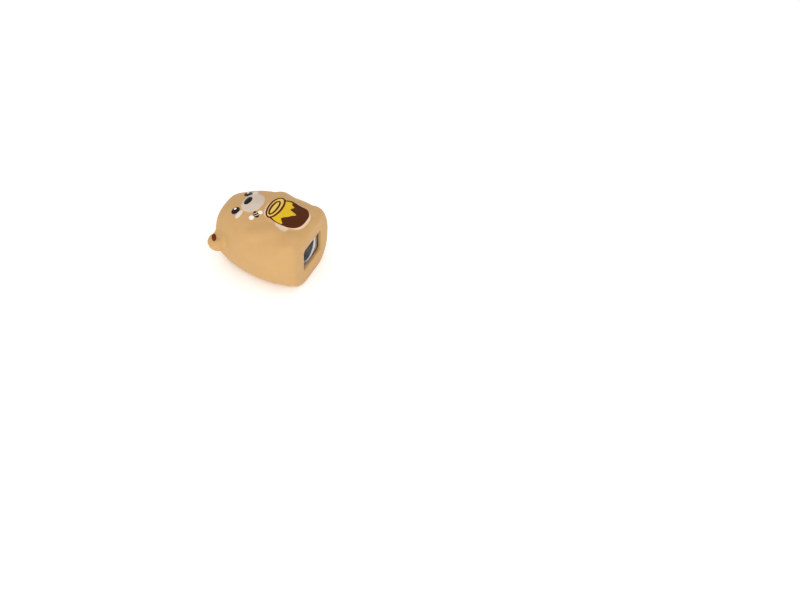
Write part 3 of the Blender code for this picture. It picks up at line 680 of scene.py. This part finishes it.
def pot_outline(jar, rim):
    """The outline round a jar and its rim together."""
    turn = np.linspace(0, 2 * np.pi, 360, endpoint=False)
    way = np.stack([-np.cos(turn), np.sin(turn)])
    near, far = np.zeros(len(turn)), np.full(len(turn), 14.0)
    for _ in range(30):
        middle = (near + far) / 2
        x, y = plan(*POT_CENTRE)[:, None] + way * middle
        inside = round_union(oval_share(x, y, jar) - 1, oval_share(x, y, rim) - 1, POT_JOIN) < 0
        near, far = np.where(inside, middle, near), np.where(inside, far, middle)
    return evenly((plan(*POT_CENTRE)[:, None] + way * near).T)


def honey_outline():
    """The drips, closed along the line under the rim."""
    (along, across), radii, _ = RIM
    under = []
    for turn in np.radians(np.linspace(52, -62, 15)):
        under.append((along - (radii[0] + 0.08) * math.cos(turn), across + radii[1] * math.sin(turn)))
    return smooth_outline(list(HONEY_DRIPS) + under, rounds=2, tension=0.2)


def on_side(oval, side, middle=FACE_MIDDLE):
    """An oval on one side of the face, its distance across counted from the middle."""
    (along, across), radii, power = oval
    return (along, middle + side * across), radii, power


def print_on(name, outlines, lift, slot, material, node=None, crown=0.0):
    piece = film_mesh(name, skin_field, outlines, lift, crown)
    return place(piece, "cover", slot, node, material)


def pot():
    backing = pot_outline(JAR_BACKING, RIM_BACKING)
    print_on("pot_backing_print", [backing], SECOND_COAT, "cream_silicone", CREAM, "pot_backing")
    print_on("pot_print", [pot_outline(JAR, RIM)], THIRD_COAT, "brown_silicone", BROWN, "honey_pot")
    print_on("honey_print", [honey_outline()], FOURTH_COAT, "honey_silicone", HONEY, "honey")
    ring = [oval_outline(RIM, -BROWN_LINE), oval_outline(MOUTH_LINE)]
    print_on("rim_print", ring, FOURTH_COAT, "rim_silicone", RIM_YELLOW, "pot_rim")
    print_on("mouth_print", [oval_outline(MOUTH)], FOURTH_COAT, "rim_silicone", RIM_YELLOW, "pot_mouth")
    for hand, side in (("right", 1), ("left", -1)):
        reach = [(across - POT_MIDDLE + 4) * (1 if side > 0 else FAR_PAW_SHARE) - 4 for _, across in PAW_PAD]
        pad = [(along, POT_MIDDLE + side * out) for (along, _), out in zip(PAW_PAD, reach)]
        outline = [smooth_outline(pad)]
        print_on("paw_print_" + hand, outline, FIRST_COAT, "cream_silicone", PAW_CREAM, "paw_" + hand)


def face():
    muzzle = [oval_outline(MUZZLE)]
    print_on("muzzle_print", muzzle, SECOND_COAT, "grey_cream_silicone", MUZZLE_CREAM, "muzzle")
    nose = [oval_outline(NOSE)]
    print_on("nose_button", nose, THIRD_COAT, "black_silicone", BLACK, "nose", NOSE_CROWN)
    for hand, side in (("left", 1), ("right", -1)):
        cheek = [oval_outline(on_side(CHEEK, side), tilt=CHEEK_TILT * side)]
        print_on("cheek_print_" + hand, cheek, FIRST_COAT, "white_silicone", CHEEK_WHITE, "cheek_" + hand)
        eye = [oval_outline(on_side(EYE, side))]
        print_on("eye_print_" + hand, eye, THIRD_COAT, "black_silicone", BLACK, "eye_" + hand, EYE_CROWN)
        glint_across = FACE_MIDDLE + side * EYE[0][1] + GLINT[0][1]
        glint = [oval_outline(((GLINT[0][0], glint_across), *GLINT[1:]))]
        print_on("eye_glint_print_" + hand, glint, GLINT_COAT, "white_silicone", WHITE, "eye_glint_" + hand)
        patch = [oval_outline(on_side(EAR_PATCH, side, 0.0), tilt=EAR_TILT * side)]
        print_on("ear_print_" + hand, patch, SECOND_COAT, "brown_silicone", EAR_BROWN, "ear_inner_" + hand)


def bee():
    for node, wing in BEE_WINGS.items():
        print_on(node + "_print", [oval_outline(wing)], FIRST_COAT, "white_silicone", WHITE, node)
    body = [oval_outline(BEE, tilt=BEE_TILT)]
    print_on("bee_body_print", body, THIRD_COAT, "black_silicone", BLACK, "bee_body")
    (along, across), (length, width), _ = BEE
    lean = math.radians(BEE_TILT)
    for k, off in enumerate(BEE_STRIPES):
        half = width * math.sqrt(1 - (off / length) ** 2) - BEE_STRIPE_INSET
        middle = (along - off * math.cos(lean), across + off * math.sin(lean))
        band = oval_outline((middle, (BEE_STRIPE_WIDTH / 2, half), 4.0), tilt=BEE_TILT)
        print_on(f"bee_stripe_print_{k}", [band], FOURTH_COAT, "white_silicone", STRIPE)


def bear():
    skin = field_mesh("bear_skin", cover_field, COVER_LOW, COVER_HIGH, SKIN_STEP)
    place(skin, "cover", "fawn_silicone", "silicone_cover", FAWN)
    pot()
    face()
    bee()


# --- The metal sharpener -------------------------------------------------------------------------

BLOCK_STEP = 0.12
# The edge of each cut is at least as round as the grid is fine, or the grid would show as teeth.
CUT_ROUND = 0.14
SCREW_STEP = 0.075
CONE_ANGLE = math.radians(11)
ENTRY_RADIUS = 4.0
TIP_RADIUS = 0.4
LEAD_IN = 4.0
ENTRY_CHAMFER = 0.35
# The chamfer goes on widening for this far in front of the block, so that it cuts cleanly.
CHAMFER_REACH = 0.6
BLADE_BITE = 0.35
CONE_LENGTH = (ENTRY_RADIUS - TIP_RADIUS) / math.tan(CONE_ANGLE)
FACE_DROP = ENTRY_RADIUS + LEAD_IN * math.tan(CONE_ANGLE) - BLADE_BITE / math.cos(CONE_ANGLE)
FRONT_X = BLOCK_HIGH[0]
BLOCK_LENGTH = BLOCK_HIGH[0] - BLOCK_LOW[0]
BLOCK_HALF = BLOCK_HIGH[1]
BLOCK_EDGE = 0.35
CHIP_SLOT = (2.4, 1.1)
GRIP_LENGTH, GRIP_DEPTH = 15.0, 0.9
RIB_COUNT, RIB_PITCH, RIB_HEIGHT = 6, 1.9, 0.45
# A rib is rounded about a narrow core, and goes down into the block as far as its root.
RIB_CORE, RIB_CORE_DEPTH, RIB_ROOT = 0.05, 0.1, 1.2
FACE_ROUND, RIB_ROUND = 0.2, 0.12
SLOT_ROUND, SLOT_REACH = 0.15, 3.0
# The block starts this far below the floor, and its slanted face cuts it off.
BLOCK_BELOW = 5.0
HOLE_GAP, HOLE_DEEPER = 0.08, 0.16
DRILL_RADIUS, DRILL_DEPTH = 1.41, 8
BLADE_GAP = 0.05
BLADE_THICKNESS = 0.9
BLADE_BEVEL = 2.0
BLADE_EDGE = 0.06
BLADE_ROUND = 0.06
BLADE_FROM_FRONT, BLADE_FROM_REAR = 1.0, 0.9
SCREW_FROM_FRONT = 12.5
SCREW_ACROSS = JOINTS["screw_turn"]["pos_m"][1] / MM
SHANK_RADIUS, SHANK_LENGTH = 1.25, 4.6
HEAD_RADIUS, HEAD_HEIGHT = 2.1, 1.3
THREAD_PITCH, THREAD_DEPTH = 0.45, 0.14
SLOT_HALF, SLOT_DEPTH = 0.3, 0.6
# The thread fades in at the face of the block over a short way, and the tip is chamfered.
THREAD_START, THREAD_FADE = 0.1, 0.3
TIP_CHAMFER, TIP_SLOPE = 0.35, 0.7
SHANK_IN_HEAD = 0.3
HEAD_ROUND, HEAD_SLOT_EDGE, HEAD_SLOT_ROUND, NECK_ROUND = 0.2, 0.05, 0.07, 0.06


def on_face(from_front, across=0.0):
    """A frame on the blade's face: X along the blade to the front, Z out of the face."""
    face = Matrix.Translation((FRONT_X, 0, AXIS_Z - FACE_DROP)) @ Matrix.Rotation(CONE_ANGLE, 4, "Y")
    return face @ Matrix.Translation((-from_front, across, 0)) @ Matrix.Rotation(math.pi, 4, "X")


def seen_from(frame_matrix, p):
    """The points of a field in another frame."""
    back = np.array(frame_matrix.inverted())
    return [sum(back[i][j] * p[j] for j in range(3)) + back[i][3] for i in range(3)]


def block_field(p):
    x, y, z = p
    low, high = (BLOCK_LOW[0], -BLOCK_HALF, -BLOCK_BELOW), (FRONT_X, BLOCK_HALF, BLOCK_HIGH[2])
    block = box_field(p, low, high, BLOCK_EDGE)
    grip_radius = (GRIP_LENGTH**2 / 4 + GRIP_DEPTH**2) / (2 * GRIP_DEPTH)
    middle = FRONT_X - BLOCK_LENGTH / 2
    scoop = grip_radius - np.hypot(x - middle, np.abs(y) - (BLOCK_HALF + grip_radius - GRIP_DEPTH))
    block = round_intersection(block, scoop, FACE_ROUND)
    for k in range(RIB_COUNT):
        off = (k - (RIB_COUNT - 1) / 2) * RIB_PITCH
        depth = GRIP_DEPTH - (grip_radius - math.sqrt(grip_radius**2 - off**2))
        face = BLOCK_HALF - depth
        beside = np.maximum(np.abs(x - middle - off) - RIB_CORE, 0)
        beyond = np.maximum(np.abs(y) - (face + RIB_CORE_DEPTH), 0)
        rib = np.hypot(beside, beyond) - (RIB_HEIGHT - RIB_CORE_DEPTH)
        rib = np.maximum(rib, z - (BLOCK_HIGH[2] - 2 * BLOCK_EDGE))
        block = round_union(block, np.maximum(rib, face - RIB_ROOT - np.abs(y)), RIB_ROUND)
    out = seen_from(on_face(0), p)[2]
    block = round_intersection(block, out, FACE_ROUND)

    deep = FRONT_X - x
    off_axis = np.hypot(y, z - AXIS_Z)
    wall = np.clip(ENTRY_RADIUS - (deep - LEAD_IN) * math.tan(CONE_ANGLE), TIP_RADIUS, ENTRY_RADIUS)
    wall = wall + np.clip(ENTRY_CHAMFER - deep, 0, ENTRY_CHAMFER + CHAMFER_REACH)
    block = round_difference(block, off_axis - wall, CUT_ROUND)

    slot_low, slot_high = (-CONE_LENGTH, 0, -CHIP_SLOT[1]), (0, CHIP_SLOT[0], SLOT_REACH)
    slot = box_field(seen_from(on_face(LEAD_IN), p), slot_low, slot_high, SLOT_ROUND)
    block = round_difference(block, slot, CUT_ROUND)
    sx, sy, sz = seen_from(on_face(SCREW_FROM_FRONT, SCREW_ACROSS), p)
    hole_depth = SHANK_LENGTH - BLADE_THICKNESS + HOLE_DEEPER
    hole = np.maximum(np.hypot(sx, sy) - SHANK_RADIUS - HOLE_GAP, -hole_depth - sz)
    return round_difference(block, hole, CUT_ROUND)


def screw_field(p):
    """The screw about its own axis: threaded shank, cheese head with a slot."""
    x, y, z = p
    off_axis = np.hypot(x, y)
    seat = BLADE_THICKNESS + 2 * BLADE_GAP
    turn = (z / THREAD_PITCH - np.arctan2(y, x) / (2 * np.pi)) % 1.0
    groove = THREAD_DEPTH * (1 - np.abs(2 * turn - 1)) * np.clip((THREAD_START - z) / THREAD_FADE, 0, 1)
    tip = seat - SHANK_LENGTH
    shank = np.maximum.reduce([off_axis - SHANK_RADIUS + groove, z - seat - SHANK_IN_HEAD, tip - z])
    shank = np.maximum(shank, (off_axis + (tip - z) - (SHANK_RADIUS - TIP_CHAMFER)) * TIP_SLOPE)
    along_head = np.abs(z - seat - HEAD_HEIGHT / 2) - HEAD_HEIGHT / 2
    head = round_intersection(off_axis - HEAD_RADIUS, along_head, HEAD_ROUND)
    top = seat + HEAD_HEIGHT
    slot = round_intersection(np.abs(y) - SLOT_HALF, top - SLOT_DEPTH - z, HEAD_SLOT_EDGE)
    head = round_difference(head, slot, HEAD_SLOT_ROUND)
    return round_union(shank, head, NECK_ROUND)


def blade_mesh():
    """The flat blade with its ground edge and the hole for the screw, in the frame of the face."""
    length = BLOCK_LENGTH - BLADE_FROM_FRONT - BLADE_FROM_REAR
    width = BLOCK_HALF
    low, high = BLADE_GAP, BLADE_GAP + BLADE_THICKNESS
    shape = bmesh.new()
    profile = [(0, low), (-width, low), (-width, high), (-BLADE_BEVEL, high), (0, low + BLADE_EDGE)]
    ends = []
    for x in (-length, 0):
        ends.append([shape.verts.new((x, y, z)) for y, z in profile])
    shape.faces.new(ends[0])
    shape.faces.new(ends[1][::-1])
    for k in range(len(profile)):
        j = (k + 1) % len(profile)
        shape.faces.new((ends[0][j], ends[0][k], ends[1][k], ends[1][j]))
    bmesh.ops.recalc_face_normals(shape, faces=shape.faces)
    sharp = [edge for edge in shape.edges if all(abs(v.co.y) > BLADE_BEVEL / 2 for v in edge.verts)]
    bmesh.ops.bevel(shape, geom=sharp, offset=BLADE_ROUND, segments=2, affect="EDGES", profile=0.5)
    mesh = bpy.data.meshes.new("blade_plate")
    bmesh.ops.transform(shape, matrix=Matrix.Scale(MM, 4), verts=shape.verts)
    shape.to_mesh(mesh)
    shape.free()
    made = bpy.data.objects.new("blade_plate", mesh)
    bpy.context.scene.collection.objects.link(made)
    return made


def scaled_frame(matrix):
    made = matrix.copy()
    made.translation *= MM
    return made


def metal_sharpener():
    body = field_mesh("wedge_block", block_field, BLOCK_LOW, BLOCK_HIGH, BLOCK_STEP)
    place(body, "sharpener", "light_alloy", "sharpener_body", ALLOY)

    blade = blade_mesh()
    drill_shape = bmesh.new()
    radius = DRILL_RADIUS * MM
    bmesh.ops.create_cone(
        drill_shape, cap_ends=True, segments=64, radius1=radius, radius2=radius, depth=DRILL_DEPTH * MM
    )
    drill = bpy.data.meshes.new("cut_blade_hole")
    drill_shape.to_mesh(drill)
    drill_shape.free()
    cutter = bpy.data.objects.new("cut_blade_hole", drill)
    bpy.context.scene.collection.objects.link(cutter)
    cutter.location = ((BLADE_FROM_FRONT - SCREW_FROM_FRONT) * MM, -SCREW_ACROSS * MM, 0)
    cut = blade.modifiers.new("Screw hole", "BOOLEAN")
    cut.operation = "DIFFERENCE"
    cut.object = cutter
    bpy.context.view_layer.update()
    graph = bpy.context.evaluated_depsgraph_get()
    blade.data = bpy.data.meshes.new_from_object(blade.evaluated_get(graph))
    blade.modifiers.clear()
    bpy.data.objects.remove(cutter, do_unlink=True)
    blade.matrix_world = scaled_frame(on_face(BLADE_FROM_FRONT))
    place(blade, "blade", "blade_steel", "blade", BLADE_STEEL)

    reach = HEAD_RADIUS + 0.1
    low = (-reach, -reach, BLADE_THICKNESS - SHANK_LENGTH)
    high = (reach, reach, BLADE_THICKNESS + 2 * BLADE_GAP + HEAD_HEIGHT)
    screw = field_mesh("blade_screw_turned", screw_field, low, high, SCREW_STEP)
    screw.matrix_world = scaled_frame(on_face(SCREW_FROM_FRONT, SCREW_ACROSS))
    place(screw, "screw", "screw_steel", "blade_screw", SCREW_STEEL)


# --- Room, light and camera ----------------------------------------------------------------------


FLOOR_SIZE = 3.0


def floor():
    shape = bmesh.new()
    bmesh.ops.create_grid(shape, x_segments=1, y_segments=1, size=FLOOR_SIZE)
    mesh = bpy.data.meshes.new("floor")
    shape.to_mesh(mesh)
    shape.free()
    made = bpy.data.objects.new("floor", mesh)
    bpy.context.scene.collection.objects.link(made)
    white, tree, shader = new_material("floor_white")
    tree.links.new(spread(tree, noise(tree, 40.0), 0.5, 0.6), shader.inputs["Roughness"])
    shader.inputs["Base Color"].default_value = linear(253, 253, 253)
    shader.inputs["Emission Color"].default_value = (1.0, 1.0, 1.0, 1.0)
    shader.inputs["Emission Strength"].default_value = 0.15
    made.data.materials.append(white)


def softbox(name, place_at, look_at, size, power, colour=(1, 1, 1)):
    light = bpy.data.lights.new(name, "AREA")
    light.shape = "RECTANGLE"
    light.size, light.size_y = size
    light.energy = power
    light.color = colour
    lamp = bpy.data.objects.new(name, light)
    lamp.location = place_at
    lamp.rotation_euler = (Vector(look_at) - Vector(place_at)).to_track_quat("-Z", "Y").to_euler()
    bpy.context.scene.collection.objects.link(lamp)


def lights():
    world = bpy.data.worlds.new("studio")
    world.use_nodes = True
    world.node_tree.nodes["Background"].inputs["Color"].default_value = (1.0, 1.0, 1.0, 1.0)
    world.node_tree.nodes["Background"].inputs["Strength"].default_value = 0.9
    bpy.context.scene.world = world
    middle = (0, 0, 0.01)
    softbox("key", (0.34, -0.30, 0.40), middle, (0.3, 0.3), 0.6)
    softbox("front", (0.05, -0.56, 0.24), middle, (0.5, 0.4), 1.0)
    bpy.context.scene.view_settings.view_transform = "Standard"


CAMERA_TURN = math.radians(25.17)
CAMERA_DOWN = math.radians(43.09)
CAMERA_LEAN = math.radians(1.5)
CAMERA_DISTANCE = 718.0
CAMERA_LENS = 101.466
CAMERA_AIM_SHIFT = (-27.81, 15.74)


def camera():
    """The camera looks at the middle of the window from the front right and above."""
    a, e, lean = CAMERA_TURN, CAMERA_DOWN, CAMERA_LEAN
    right = np.array([math.cos(a), math.sin(a), 0.0])
    back = np.array([math.sin(a) * math.cos(e), -math.cos(a) * math.cos(e), math.sin(e)])
    turn = np.array([right, np.cross(back, right), back])
    tip = np.array([[math.cos(lean), 0, math.sin(lean)], [0, 1, 0], [-math.sin(lean), 0, math.cos(lean)]])
    turn = turn @ tip
    target = np.array([*CAMERA_AIM_SHIFT, -CAMERA_DISTANCE])
    spot = -turn.T @ target + np.array([BASE_X, 0, AXIS_Z])
    data = bpy.data.cameras.new("camera")
    data.lens = CAMERA_LENS
    data.sensor_width = 36.0
    data.clip_start, data.clip_end = 0.01, 20.0
    made = bpy.data.objects.new("camera", data)
    made.matrix_world = Matrix.Translation(Vector(spot * MM)) @ Matrix(turn.T.tolist()).to_4x4()
    bpy.context.scene.collection.objects.link(made)
    bpy.context.scene.camera = made


bear()
metal_sharpener()
floor()
lights()
camera()
